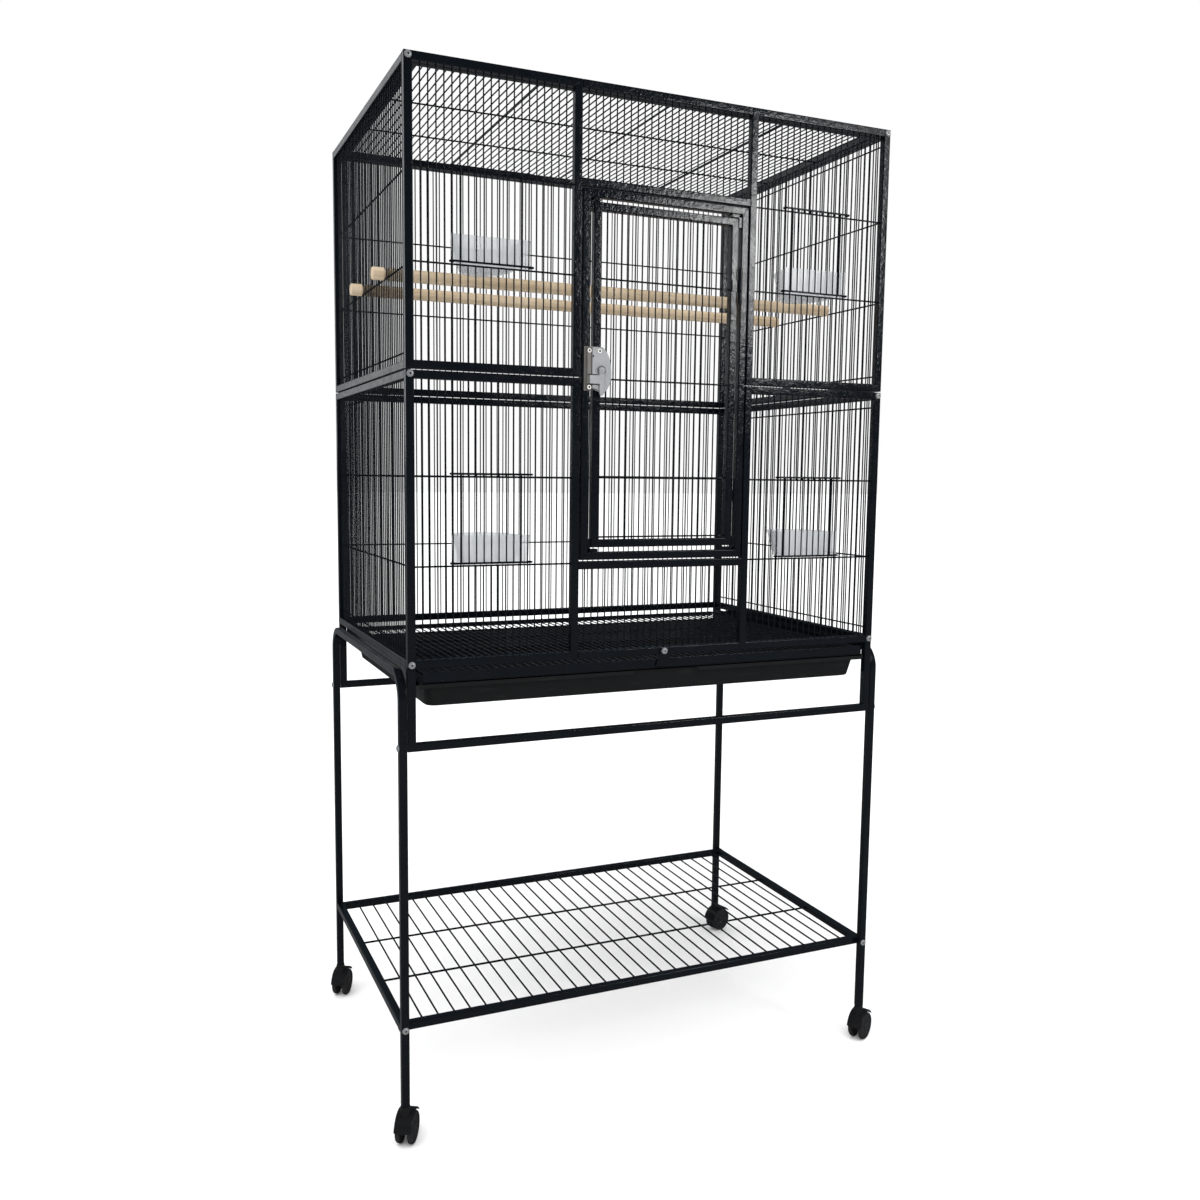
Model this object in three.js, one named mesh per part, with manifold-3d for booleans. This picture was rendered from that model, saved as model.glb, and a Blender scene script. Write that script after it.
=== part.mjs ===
// Flight cage on a wheeled stand: welded wire panels screwed together, a hinged door with a latch,
// four guillotine feeder doors with cups, two perches, a slide-out grille and tray, and a stand with a shelf.
// Millimetres, +Z up, -Y is the front. The origin is on the floor under the middle of the stand.
import * as THREE from "three";
import { mergeVertices } from "three/addons/utils/BufferGeometryUtils.js";
import Module from "manifold-3d";

// ---- driving dimensions ----
const tube = 12; // square tube of every frame
const gap = 0.3; // clearance between pieces that touch
const cage = { halfWidth: 406.5, halfDepth: 266.5, bottom: 724.5, seam: 1149.5, top: 1575 };
const wire = { radius: 1.2, sides: 3, pitch: 11.43, weld: 1.5 }; // weld: how far a wire runs into its rail
const mullion = { inner: 142.5 }; // door-side face of the two mullions, each side of the middle
const header = 1425.2; // underside of the rail above the door
const sill = 874.4; // top of the rail below the door
const surround = { halfWidth: 140.5, bottom: 876.5, top: 1423.5 };
const door = { halfWidth: 122.5, bottom: 895.5, top: 1405.5, pitch: 11.6 };
const hinge = { x: 125.5, z: [1302, 975], length: 54, barrel: 3.7, pin: 1.5, forward: 3, leaf: 1.2 };
const latch = { x: -112, z: 1160, bottom: 1126, top: 1195, right: -94, thick: 6, lever: 3 };
const feeder = {
  bars: [5, 15], // panel bars that the feeder door's ends hook round
  opening: [6, 14], // panel bars at the two sides of the opening itself
  bottoms: [1298.1, 871.2], height: 129.2, // lower wire of the upper and lower openings, and their height
  overhang: [5, 8], barRadius: 1.7, forward: 3.4, hook: 6.2,
};
const cup = {
  plate: 120, plateFoot: 116, bowl: 104, bowlFoot: 80, depth: 92, footDepth: 84, height: 43, wall: 1.6,
  back: 14.5, shift: { left: 3, right: 10 }, // how far a cup hangs to the right of the middle of its opening
};
const perch = { radius: 9.5, z: 1302.1, y: [-118.9, 41.2], left: -420, right: 398.4, slot: 2.9 };
const grille = { halfWidth: 385, bottom: 704.3, top: 718.5, plate: 2, back: 246, wireZ: 716.4, pitch: 12.7 };
const tab = { x: 4.3, foot: 14.6, head: 6.5, top: 735.5, thick: 1.6, screw: 9 };
const tray = {
  lipHalf: 389, lipTop: 703.7, skirt: 694.8, lipBack: 242, lip: 3,
  halfTop: 381, halfFoot: 375, front: -258, back: 230, taper: 8, bottom: 665.5, wall: 2.2, corner: 14,
};
const runner = { inner: 383, outer: 394.2, ledge: 699.8, thick: 1.5, top: 722 };
const arch = { outer: 419.5, halfDepth: 265.5, top: 722, bend: 45, foot: 63 };
const crossbar = { top: 615 };
const shelf = { top: 188, pitch: 25.4 };
const caster = { wheel: 23.5, width: 27, tread: 8.5, axle: 3, trail: 9, stem: 4, stemInLeg: 18, web: 4 };
const casterTurn = { front_left: 150, front_right: 120, back_left: 150, back_right: 105 }; // degrees from front
const screw = { head: 5.2, headHeight: 2.6, shank: 2.4, length: 20, hole: 2.8 };

const front = -cage.halfDepth;
const back = cage.halfDepth;
const stile = cage.halfWidth - tube; // inner face of the corner stiles
const barY = front + tube / 2;

// ---- solids: joins and cuts ----
const wasm = await Module();
wasm.setup();

function solid(geometry) {
  const bare = new THREE.BufferGeometry();
  const source = geometry.index ? geometry : mergeVertices(geometry);
  bare.setAttribute("position", source.getAttribute("position"));
  bare.setIndex(source.index);
  const merged = mergeVertices(bare, 1e-4);
  return new wasm.Manifold(new wasm.Mesh({
    numProp: 3,
    vertProperties: new Float32Array(merged.attributes.position.array),
    triVerts: new Uint32Array(merged.index.array),
  }));
}

function joined(pieces) {
  return pieces.reduce((whole, piece) => whole.add(piece));
}

function geometryOf(manifold) {
  const mesh = manifold.getMesh();
  const geometry = new THREE.BufferGeometry();
  geometry.setAttribute("position", new THREE.BufferAttribute(mesh.vertProperties, 3));
  geometry.setIndex(new THREE.BufferAttribute(mesh.triVerts, 1));
  return geometry.toNonIndexed();
}

// A box between two values on each axis.
function block([x0, x1], [y0, y1], [z0, z1]) {
  const box = new THREE.BoxGeometry(x1 - x0, y1 - y0, z1 - z0);
  box.translate((x0 + x1) / 2, (y0 + y1) / 2, (z0 + z1) / 2);
  return solid(box);
}

// A straight round or many-sided rod along an axis, between two values on it.
function rod(axis, centre, [from, to], radius, sides = 8) {
  const cylinder = new THREE.CylinderGeometry(radius, radius, to - from, sides);
  if (axis === "x") cylinder.rotateZ(-Math.PI / 2);
  if (axis === "z") cylinder.rotateX(Math.PI / 2);
  const middle = new THREE.Vector3(...centre);
  middle[axis] = (from + to) / 2;
  cylinder.translate(middle.x, middle.y, middle.z);
  return solid(cylinder);
}

function wireAlong(axis, centre, [from, to], radius = wire.radius) {
  return rod(axis, centre, [from - wire.weld, to + wire.weld], radius, wire.sides);
}

// Evenly spaced places strictly between two faces, as near to the pitch as fits.
function spaced(from, to, pitch) {
  const gaps = Math.round((to - from) / pitch);
  const step = (to - from) / gaps;
  return Array.from({ length: gaps - 1 }, (_, i) => from + step * (i + 1));
}

// A closed skin between two outlines with the same number of points, one below the other.
function loft(lower, lowerZ, upper, upperZ) {
  const n = lower.length;
  const points = [...lower.map((p) => [p.x, p.y, lowerZ]), ...upper.map((p) => [p.x, p.y, upperZ])];
  const cap = THREE.ShapeUtils.triangulateShape(lower, []);
  const faces = [];
  cap.forEach(([a, b, c]) => faces.push(a, c, b, a + n, b + n, c + n));
  for (let i = 0; i < n; i++) {
    const j = (i + 1) % n;
    faces.push(i, j, j + n, i, j + n, i + n);
  }
  const geometry = new THREE.BufferGeometry();
  geometry.setAttribute("position", new THREE.Float32BufferAttribute(points.flat(), 3));
  geometry.setIndex(faces);
  return solid(geometry);
}

function roundedOutline(halfWidth, y0, y1, radius, steps = 3) {
  const corners = [[halfWidth, y1, 0], [-halfWidth, y1, 1], [-halfWidth, y0, 2], [halfWidth, y0, 3]];
  return corners.flatMap(([x, y, quarter]) => Array.from({ length: steps + 1 }, (_, i) => {
    const angle = (quarter + i / steps) * Math.PI / 2;
    const cx = x - Math.sign(x) * radius;
    const cy = y === y1 ? y - radius : y + radius;
    return new THREE.Vector2(cx + radius * Math.cos(angle), cy + radius * Math.sin(angle));
  }));
}

function extruded(shape, depth, curveSegments = 6) {
  return new THREE.ExtrudeGeometry(shape, { depth, bevelEnabled: false, curveSegments });
}

// ---- materials and the scene ----
const looks = {
  black: { color: 0x17181a, metalness: 0.35, roughness: 0.42 },
  zinc: { color: 0xa9adae, metalness: 0.9, roughness: 0.38 },
  clear: { color: 0xdfe5e8, metalness: 0, roughness: 0.12, transparent: true, opacity: 0.4 },
  wood: { color: 0xd3b48a, metalness: 0, roughness: 0.72 },
  plastic: { color: 0x121314, metalness: 0, roughness: 0.5 },
};
const assembly = new THREE.Group();

function place(name, manifold, look, parent = assembly) {
  const mesh = new THREE.Mesh(geometryOf(manifold), new THREE.MeshStandardMaterial(looks[look]));
  mesh.name = name;
  parent.add(mesh);
}

// ---- cage panels ----
// Screw holes through a front stile, and the matching blind holes in the ends of the side rails.
const cornerScrewZ = {
  upper: [cage.top - tube / 2],
  lower: [cage.seam - gap / 2 - tube / 2, cage.bottom + tube / 2],
};

function screwHoles(side, level, from, to) {
  const x = side * (cage.halfWidth - tube / 2);
  return cornerScrewZ[level].map((z) => rod("y", [x, 0, z], [from, to], screw.hole));
}

function span(level) {
  return level === "upper" ? [cage.seam + gap / 2, cage.top] : [cage.bottom, cage.seam - gap / 2];
}

// The stile, mullion, rails and wires beside the door, with a feeder opening between two of its wires.
function bay(side, level) {
  const [low, high] = span(level);
  const inner = side * (mullion.inner + tube);
  const outer = side * stile;
  const [x0, x1] = [Math.min(inner, outer), Math.max(inner, outer)];
  const bottomWire = feeder.bottoms[level === "upper" ? 0 : 1];
  const topWire = bottomWire + feeder.height;
  const y = [front, front + tube];
  const frame = [
    block([x0 - tube, x0], y, [low, high]),
    block([x1, x1 + tube], y, [low, high]),
    block([x0 - wire.weld, x1 + wire.weld], y, [high - tube, high]),
    block([x0 - wire.weld, x1 + wire.weld], y, [low, low + tube]),
  ];
  const bars = spaced(x0, x1, wire.pitch);
  const [openLeft, openRight] = feeder.opening.map((i) => bars[i - 1]);
  const wires = bars.flatMap((x) => {
    if (x <= openLeft || x >= openRight) return [wireAlong("z", [x, barY, 0], [low + tube, high - tube])];
    return [
      wireAlong("z", [x, barY, 0], [low + tube, bottomWire]),
      wireAlong("z", [x, barY, 0], [topWire, high - tube]),
    ];
  });
  const edges = [bottomWire, topWire].map((z) => wireAlong("x", [0, barY, z], [openLeft, openRight], 1.5));
  const whole = joined([...frame, ...wires, ...edges]);
  return whole.subtract(joined(screwHoles(side, level, front - 1, front + tube + 1)));
}

// The rail and short wires above the door, or below it.
function doorStrip(level) {
  const half = mullion.inner - gap;
  const y = [front, front + tube];
  const rails = level === "upper"
    ? [[cage.top - tube, cage.top], [header, header + tube]]
    : [[sill - tube, sill], [cage.bottom, cage.bottom + tube]];
  const wires = spaced(-half, half, wire.pitch).map((x) => {
    return wireAlong("z", [x, barY, 0], [rails[1][1], rails[0][0]]);
  });
  const strip = joined([...rails.map((z) => block([-half, half], y, z)), ...wires]);
  const tabHole = [front - 1, front + tab.screw + 1];
  return strip.subtract(rod("y", [tab.x, 0, cage.bottom + tube / 2], tabHole, screw.hole));
}

function backPanel(level) {
  const [low, high] = span(level);
  const y = [back - tube, back];
  const frame = [
    block([-cage.halfWidth, -stile], y, [low, high]),
    block([stile, cage.halfWidth], y, [low, high]),
    block([-stile - wire.weld, stile + wire.weld], y, [low, low + tube]),
    block([-stile - wire.weld, stile + wire.weld], y, [high - tube, high]),
  ];
  const wires = spaced(-stile, stile, wire.pitch).map((x) => {
    return wireAlong("z", [x, back - tube / 2, 0], [low + tube, high - tube]);
  });
  return joined([...frame, ...wires]);
}

// Two rails between the front and back panels, joined only by their wires.
function sidePanel(side, level) {
  const [low, high] = span(level);
  const x = side * (cage.halfWidth - tube / 2);
  const across = [x - tube / 2, x + tube / 2];
  const along = [front + tube + gap, back - tube - gap];
  const top = level === "upper" ? high - tube - gap : high - tube;
  const rails = [[low, low + tube], [high - tube, high]].map((z) => block(across, along, z));
  const wires = spaced(...along, wire.pitch).map((y) => wireAlong("z", [x, y, 0], [low + tube, top]));
  const holes = screwHoles(side, level, along[0] - 1, along[0] + screw.length - tube + 1);
  return joined([...rails, ...wires]).subtract(joined(holes));
}

// The roof lies inside the top rails of the four walls.
function topPanel() {
  const half = { x: stile - gap, y: cage.halfDepth - tube - gap };
  const z = [cage.top - tube, cage.top];
  const frame = [
    block([-half.x, half.x], [-half.y, -half.y + tube], z),
    block([-half.x, half.x], [half.y - tube, half.y], z),
    block([-half.x, -half.x + tube], [-half.y, half.y], z),
    block([half.x - tube, half.x], [-half.y, half.y], z),
  ];
  const wires = spaced(-half.x + tube, half.x - tube, wire.pitch).map((x) => {
    return wireAlong("y", [x, 0, cage.top - tube / 2], [-half.y + tube, half.y - tube]);
  });
  return joined([...frame, ...wires]);
}

for (const level of ["upper", "lower"]) {
  place(`front_${level}_left_bay`, bay(-1, level), "black");
  place(`front_${level}_right_bay`, bay(1, level), "black");
  place(`back_${level}_panel`, backPanel(level), "black");
  place(`left_${level}_panel`, sidePanel(-1, level), "black");
  place(`right_${level}_panel`, sidePanel(1, level), "black");
}
place("front_header", doorStrip("upper"), "black");
place("front_sill", doorStrip("lower"), "black");
place("top_panel", topPanel(), "black");

// ---- door, hinges and latch ----
function openFrame(halfWidth, low, high) {
  const y = [front, front + tube];
  return joined([
    block([-halfWidth, -halfWidth + tube], y, [low, high]),
    block([halfWidth - tube, halfWidth], y, [low, high]),
    block([-halfWidth, halfWidth], y, [high - tube, high]),
    block([-halfWidth, halfWidth], y, [low, low + tube]),
  ]);
}

function doorLeaf() {
  const inside = door.halfWidth - tube;
  const wires = spaced(-inside, inside, door.pitch).map((x) => {
    return wireAlong("z", [x, barY, 0], [door.bottom + tube, door.top - tube]);
  });
  return joined([openFrame(door.halfWidth, door.bottom, door.top), ...wires]);
}

// The fixed leaf has the two outer knuckles and the pin; the door's leaf has the middle knuckle round it.
function hingeLeaves(z) {
  const y = front - hinge.forward;
  const knuckle = hinge.length / 3;
  const [low, high] = [z - hinge.length / 2, z + hinge.length / 2];
  const plateY = [y - hinge.leaf / 2, front - gap];
  const outer = [[low, low + knuckle - gap], [high - knuckle + gap, high]];
  const fixed = joined([
    rod("z", [hinge.x, y, 0], [low, high], hinge.pin, 8),
    ...outer.map((range) => rod("z", [hinge.x, y, 0], range, hinge.barrel, 8)),
    ...outer.map((range) => block([hinge.x, hinge.x + 11], plateY, range)),
  ]);
  const middle = [low + knuckle, high - knuckle];
  const hole = rod("z", [hinge.x, y, 0], [middle[0] - 1, middle[1] + 1], hinge.pin + gap, 8);
  const moving = joined([
    rod("z", [hinge.x, y, 0], middle, hinge.barrel, 8),
    block([hinge.x - 13, hinge.x], plateY, middle),
  ]).subtract(hole);
  return [fixed, moving];
}

function latchPlate() {
  const outline = new THREE.Shape();
  outline.moveTo(-127, latch.bottom + 8);
  outline.lineTo(-106, latch.bottom);
  outline.quadraticCurveTo(latch.right, latch.bottom + 12, latch.right, latch.z - 4);
  outline.quadraticCurveTo(latch.right, latch.top - 12, -108, latch.top);
  outline.lineTo(-127, latch.top);
  const plate = extruded(outline, latch.thick, 4);
  plate.rotateX(Math.PI / 2);
  plate.translate(0, front - gap, 0);
  const hole = rod("y", [latch.x, 0, latch.z], [front - 20, front + 1], 2.4, 10);
  return solid(plate).subtract(hole);
}

function latchLever() {
  const face = front - gap - latch.thick - gap;
  const y = [face - latch.lever, face];
  return joined([
    rod("y", [latch.x, 0, latch.z], y, 7, 12),
    rod("y", [latch.x, 0, latch.z], [y[1] - 1, front - 1], 2, 10),
    block([latch.x - 2.6, latch.x + 2.6], y, [latch.z - 36, latch.z]),
    block([latch.x - 20, latch.x], y, [latch.z - 3.5, latch.z + 3.5]),
  ]);
}

place("door_surround", openFrame(surround.halfWidth, surround.bottom, surround.top), "black");
place("door", doorLeaf(), "black");
["upper", "lower"].forEach((name, i) => {
  const [fixed, moving] = hingeLeaves(hinge.z[i]);
  place(`${name}_hinge_frame_leaf`, fixed, "black");
  place(`${name}_hinge_door_leaf`, moving, "black");
});
const keeper = { x: [-138, -127.7], y: [front - gap - latch.thick, front - gap], z: [1130, latch.top] };
place("latch_keeper", block(keeper.x, keeper.y, keeper.z), "zinc");
place("latch_plate", latchPlate(), "zinc");
place("latch_lever", latchLever(), "zinc");

// ---- feeder doors and cups ----
function bayBars(side) {
  const inner = side * (mullion.inner + tube);
  const outer = side * stile;
  return spaced(Math.min(inner, outer), Math.max(inner, outer), wire.pitch);
}

// A wire guillotine whose bar ends hook back past the panel wires at the sides of the opening.
function feederDoor(side, bottomWire) {
  const bars = bayBars(side).slice(feeder.bars[0] - 1, feeder.bars[1]);
  const y = barY - feeder.forward;
  const [left, right] = [bars[0] - feeder.overhang[0], bars[bars.length - 1] + feeder.overhang[1]];
  const [low, high] = [bottomWire + 4.2, bottomWire + feeder.height + 4.2];
  const levels = [low, high].map((z) => rod("x", [0, y, z], [left, right], feeder.barRadius, 4));
  const hooks = [low, high].flatMap((z) => [left + 1.2, right - 1.2].map((x) => {
    return block([x - 1.2, x + 1.2], [y, y + feeder.hook], [z - 1.2, z + 1.2]);
  }));
  const uprights = bars.slice(1, -1).map((x, i, all) => {
    const radius = i === 0 || i === all.length - 1 ? 1.6 : wire.radius;
    return rod("z", [x, y, 0], [low, high], radius, wire.sides);
  });
  return joined([...levels, ...hooks, ...uprights]);
}

// The bowl is flat at the front and rounded towards the inside of the cage.
function bowlOutline(halfWidth, depth, inset) {
  const points = [new THREE.Vector2(-halfWidth + inset, inset), new THREE.Vector2(halfWidth - inset, inset)];
  const steps = 8;
  for (let i = 0; i <= steps; i++) {
    const angle = i / steps * Math.PI;
    const y = depth * (0.3 + 0.7 * Math.sin(angle));
    points.push(new THREE.Vector2((halfWidth - inset) * Math.cos(angle), y - inset));
  }
  return points;
}

// A front plate, wider than its opening, with a narrower bowl behind it.
function feederCup(side, bottomWire) {
  const [left, right] = feeder.opening.map((i) => bayBars(side)[i - 1]);
  const middle = (left + right) / 2 + (side < 0 ? cup.shift.left : cup.shift.right);
  const low = bottomWire + 1;
  const high = low + cup.height;
  const bowl = (inset, from, to) => loft(
    bowlOutline(cup.bowlFoot / 2, cup.footDepth, inset), from,
    bowlOutline(cup.bowl / 2, cup.depth, inset), to,
  );
  const plate = (half) => [[-half, 0], [half, 0], [half, cup.wall], [-half, cup.wall]];
  const outlines = [cup.plateFoot / 2, cup.plate / 2].map((half) => {
    return plate(half).map(([x, y]) => new THREE.Vector2(x, y));
  });
  const flange = loft(outlines[0], low, outlines[1], high);
  const hollow = bowl(cup.wall, low + cup.wall, high + 0.5);
  return joined([flange, bowl(0, low, high)]).subtract(hollow).translate([middle, front + cup.back, 0]);
}

for (const [side, sideName] of [[-1, "left"], [1, "right"]]) {
  feeder.bottoms.forEach((bottomWire, i) => {
    const name = `${["upper", "lower"][i]}_${sideName}`;
    place(`feeder_door_${name}`, feederDoor(side, bottomWire), "black");
    place(`cup_${name}`, feederCup(side, bottomWire), "clear");
  });
}

// ---- perches ----
// The left end is slotted to sit astride one side wire and stands out past it.
function dowel(y) {
  const whole = rod("x", [0, y, perch.z], [perch.left, perch.right], perch.radius, 16);
  const depth = cage.halfWidth - tube / 2 - 4;
  const across = [y - perch.slot / 2, y + perch.slot / 2];
  return whole.subtract(block([perch.left - 1, -depth], across, [perch.z - 20, perch.z + 20]));
}

const sideWireY = spaced(front + tube + gap, back - tube - gap, wire.pitch);
["front_perch", "rear_perch"].forEach((name, i) => {
  const nearest = sideWireY.reduce((a, b) => (Math.abs(b - perch.y[i]) < Math.abs(a - perch.y[i]) ? b : a));
  place(name, dowel(nearest), "wood");
});

// ---- grille, tray and their runners ----
function slideOutGrille() {
  const y0 = front + 1;
  const upright = [grille.bottom, grille.top];
  const plate = block([-grille.halfWidth, grille.halfWidth], [y0, y0 + grille.plate], upright);
  const rim = grille.halfWidth - 3;
  const edges = [-rim, rim].map((x) => rod("y", [x, 0, grille.wireZ - 1], [y0 + 1, grille.back], 2, 4));
  const rear = rod("x", [0, grille.back, grille.wireZ - 1], [-rim, rim], 2, 4);
  const wires = spaced(-rim, rim, grille.pitch).map((x) => {
    return rod("y", [x, 0, grille.wireZ], [y0 + 1, grille.back], wire.radius, wire.sides);
  });
  return joined([plate, ...edges, rear, ...wires]);
}

// The ear that the grille is screwed to the cage by.
function grilleTab() {
  const foot = grille.bottom + 2;
  const outline = new THREE.Shape();
  outline.moveTo(-tab.foot, foot);
  outline.lineTo(tab.foot, foot);
  outline.lineTo(tab.head, tab.top);
  outline.lineTo(-tab.head, tab.top);
  const ear = extruded(outline, tab.thick);
  ear.rotateX(Math.PI / 2);
  ear.translate(tab.x, front - gap, 0);
  const spacer = block([tab.x - 12, tab.x + 12], [front - gap - 1, front + 1 - gap], [foot, grille.top - 1]);
  const hole = rod("y", [tab.x, 0, cage.bottom + tube / 2], [front - 5, front + 5], screw.hole);
  return joined([solid(ear), spacer]).subtract(hole);
}

function dropTray() {
  const outline = (halfWidth, inset) => {
    return roundedOutline(halfWidth, tray.front + inset, tray.back - inset, tray.corner);
  };
  const walls = (inset, low, high) => {
    const foot = outline(tray.halfFoot - inset, tray.taper + inset);
    return loft(foot, low, outline(tray.halfTop - inset, inset), high);
  };
  const across = [-tray.lipHalf, tray.lipHalf];
  const lip = block(across, [front + 1, tray.lipBack], [tray.lipTop - tray.lip, tray.lipTop]);
  const skirt = block(across, [front + 1, front + 3.2], [tray.skirt, tray.lipTop]);
  const body = walls(0, tray.bottom, tray.lipTop - 0.5);
  return joined([lip, skirt, body]).subtract(walls(tray.wall, tray.bottom + tray.wall, tray.lipTop + 0.5));
}

// An angle that the tray's lip slides on, fixed between the front and back uprights.
function runnerAngle(side) {
  const y = [front + tube + gap, back - tube - gap];
  const x = (a, b) => [side * a, side * b].sort((p, q) => p - q);
  return joined([
    block(x(runner.inner, runner.outer), y, [runner.ledge - runner.thick, runner.ledge]),
    block(x(runner.outer - runner.thick, runner.outer), y, [runner.ledge - runner.thick, runner.top]),
  ]);
}

place("grille", slideOutGrille(), "black");
place("grille_tab", grilleTab(), "black");
place("tray", dropTray(), "plastic");
place("left_runner", runnerAngle(-1), "black");
place("right_runner", runnerAngle(1), "black");

// ---- stand ----
const legY = arch.halfDepth - tube / 2;

// One tube bent into a front leg, a top rail and a back leg.
function archTube(side) {
  const outline = new THREE.Shape();
  const half = arch.halfDepth;
  const inside = half - tube;
  const innerBend = arch.bend - tube;
  outline.moveTo(-half, arch.foot);
  outline.lineTo(-inside, arch.foot);
  outline.lineTo(-inside, arch.top - arch.bend);
  outline.absarc(-inside + innerBend, arch.top - arch.bend, innerBend, Math.PI, Math.PI / 2, true);
  outline.lineTo(inside - innerBend, arch.top - tube);
  outline.absarc(inside - innerBend, arch.top - arch.bend, innerBend, Math.PI / 2, 0, true);
  outline.lineTo(inside, arch.foot);
  outline.lineTo(half, arch.foot);
  outline.lineTo(half, arch.top - arch.bend);
  outline.absarc(half - arch.bend, arch.top - arch.bend, arch.bend, 0, Math.PI / 2, false);
  outline.lineTo(-half + arch.bend, arch.top);
  outline.absarc(-half + arch.bend, arch.top - arch.bend, arch.bend, Math.PI / 2, Math.PI, false);
  const bent = extruded(outline, tube, 5);
  bent.rotateX(Math.PI / 2);
  bent.rotateZ(Math.PI / 2);
  bent.translate(side > 0 ? arch.outer - tube : -arch.outer, 0, 0);
  const x = side * (arch.outer - tube / 2);
  const cuts = [-legY, legY].flatMap((y) => [
    rod("z", [x, y, 0], [arch.foot - 1, arch.foot + caster.stemInLeg + 1], caster.stem + gap, 8),
    rod("x", [0, y, crossbar.top - tube / 2], [x - tube, x + tube], screw.hole),
  ]);
  return solid(bent).subtract(joined(cuts));
}

// A bar between the legs with a short upright at each end, under the cage's corner stiles.
function crossbarFrame(side) {
  const y = side < 0 ? [front + 1, front + 1 + tube] : [back - 1 - tube, back - 1];
  const half = cage.halfWidth;
  const frame = joined([
    block([-half, half], y, [crossbar.top - tube, crossbar.top]),
    block([-half, -half + tube], y, [crossbar.top - tube, cage.bottom - gap]),
    block([half - tube, half], y, [crossbar.top - tube, cage.bottom - gap]),
  ]);
  const reach = half - screw.length + tube + 1;
  const z = crossbar.top - tube / 2;
  return frame.subtract(joined([
    rod("x", [0, side * legY, z], [-half - 1, -reach], screw.hole),
    rod("x", [0, side * legY, z], [reach, half + 1], screw.hole),
  ]));
}

function shelfFrame() {
  const half = { x: arch.outer, y: arch.halfDepth - tube - gap };
  const z = [shelf.top - tube, shelf.top];
  const frame = [
    block([-half.x, half.x], [-half.y, -half.y + tube], z),
    block([-half.x, half.x], [half.y - tube, half.y], z),
    block([-half.x, -half.x + tube], [-half.y, half.y], z),
    block([half.x - tube, half.x], [-half.y, half.y], z),
  ];
  const wires = spaced(-half.x + tube, half.x - tube, shelf.pitch).map((x) => {
    return wireAlong("y", [x, 0, shelf.top - 3], [-half.y + tube, half.y - tube], 1.8);
  });
  return joined([...frame, ...wires]);
}

place("left_arch", archTube(-1), "black");
place("right_arch", archTube(1), "black");
place("front_crossbar", crossbarFrame(-1), "black");
place("back_crossbar", crossbarFrame(1), "black");
place("shelf", shelfFrame(), "black");

// ---- casters: built about the stem's axis, with the axle trailing to the front ----
function casterHousing() {
  const axle = [0, -caster.trail, caster.wheel];
  const outer = caster.wheel + 5;
  const inner = caster.wheel + 3;
  const side = new THREE.Shape();
  side.moveTo(-8, -6);
  side.lineTo(8, -6);
  for (let i = 0; i <= 6; i++) {
    const angle = (0.04 + 0.76 * i / 6) * Math.PI;
    side.lineTo(outer * Math.cos(angle), outer * Math.sin(angle));
  }
  const cover = extruded(side, caster.width);
  cover.rotateX(Math.PI / 2);
  cover.rotateZ(Math.PI / 2);
  cover.translate(-caster.width / 2, axle[1], axle[2]);
  const wheelRoom = [-1, 1].map((way) => {
    return rod("x", axle, [way * caster.web, way * 30].sort((a, b) => a - b), inner, 12);
  });
  return joined([
    solid(cover),
    rod("z", [0, 0, 0], [40, arch.foot - gap], 8, 8),
    rod("z", [0, 0, 0], [50, arch.foot + caster.stemInLeg], caster.stem, 6),
  ]).subtract(joined([...wheelRoom, rod("x", axle, [-30, 30], caster.axle + 2 * gap, 8)]));
}

// Two discs on one axle; a flat of the many-sided tread meets the floor.
function casterWheels() {
  const sides = 12;
  const round = caster.wheel / Math.cos(Math.PI / sides);
  const half = caster.width / 2;
  const inside = half - caster.tread;
  const profile = [[0, -half], [round, -half], [round, -inside], [caster.axle, -inside]];
  const mirrored = profile.map(([r, x]) => [r, -x]).reverse();
  const points = [...profile, ...mirrored].map(([r, x]) => new THREE.Vector2(r, x));
  const wheels = new THREE.LatheGeometry(points, sides, Math.PI / sides);
  wheels.rotateZ(-Math.PI / 2);
  wheels.translate(0, -caster.trail, caster.wheel);
  return solid(wheels);
}

for (const [side, sideName] of [[-1, "left"], [1, "right"]]) {
  for (const [end, endName] of [[-1, "front"], [1, "back"]]) {
    const corner = new THREE.Group();
    corner.position.set(side * (arch.outer - tube / 2), end * legY, 0);
    corner.rotation.z = THREE.MathUtils.degToRad(casterTurn[`${endName}_${sideName}`]);
    assembly.add(corner);
    place(`caster_${endName}_${sideName}_housing`, casterHousing(), "plastic", corner);
    place(`caster_${endName}_${sideName}_wheels`, casterWheels(), "plastic", corner);
  }
}

// ---- button-head screws ----
// Built with the head's underside at the origin and the shank along +Z.
function buttonScrew(length) {
  const top = -screw.headHeight;
  const head = [[0, top], [screw.head * 0.7, top], [screw.head, 0]];
  const profile = [...head, [screw.shank, 0], [screw.shank, length], [0, length]];
  const turned = new THREE.LatheGeometry(profile.map(([r, z]) => new THREE.Vector2(r, z)), 8);
  turned.rotateX(Math.PI / 2);
  return solid(turned);
}

function placeScrew(name, at, turn, length = screw.length) {
  const holder = new THREE.Group();
  holder.position.set(...at);
  holder.rotation.set(...turn);
  assembly.add(holder);
  place(name, buttonScrew(length), "zinc", holder);
}

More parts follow.
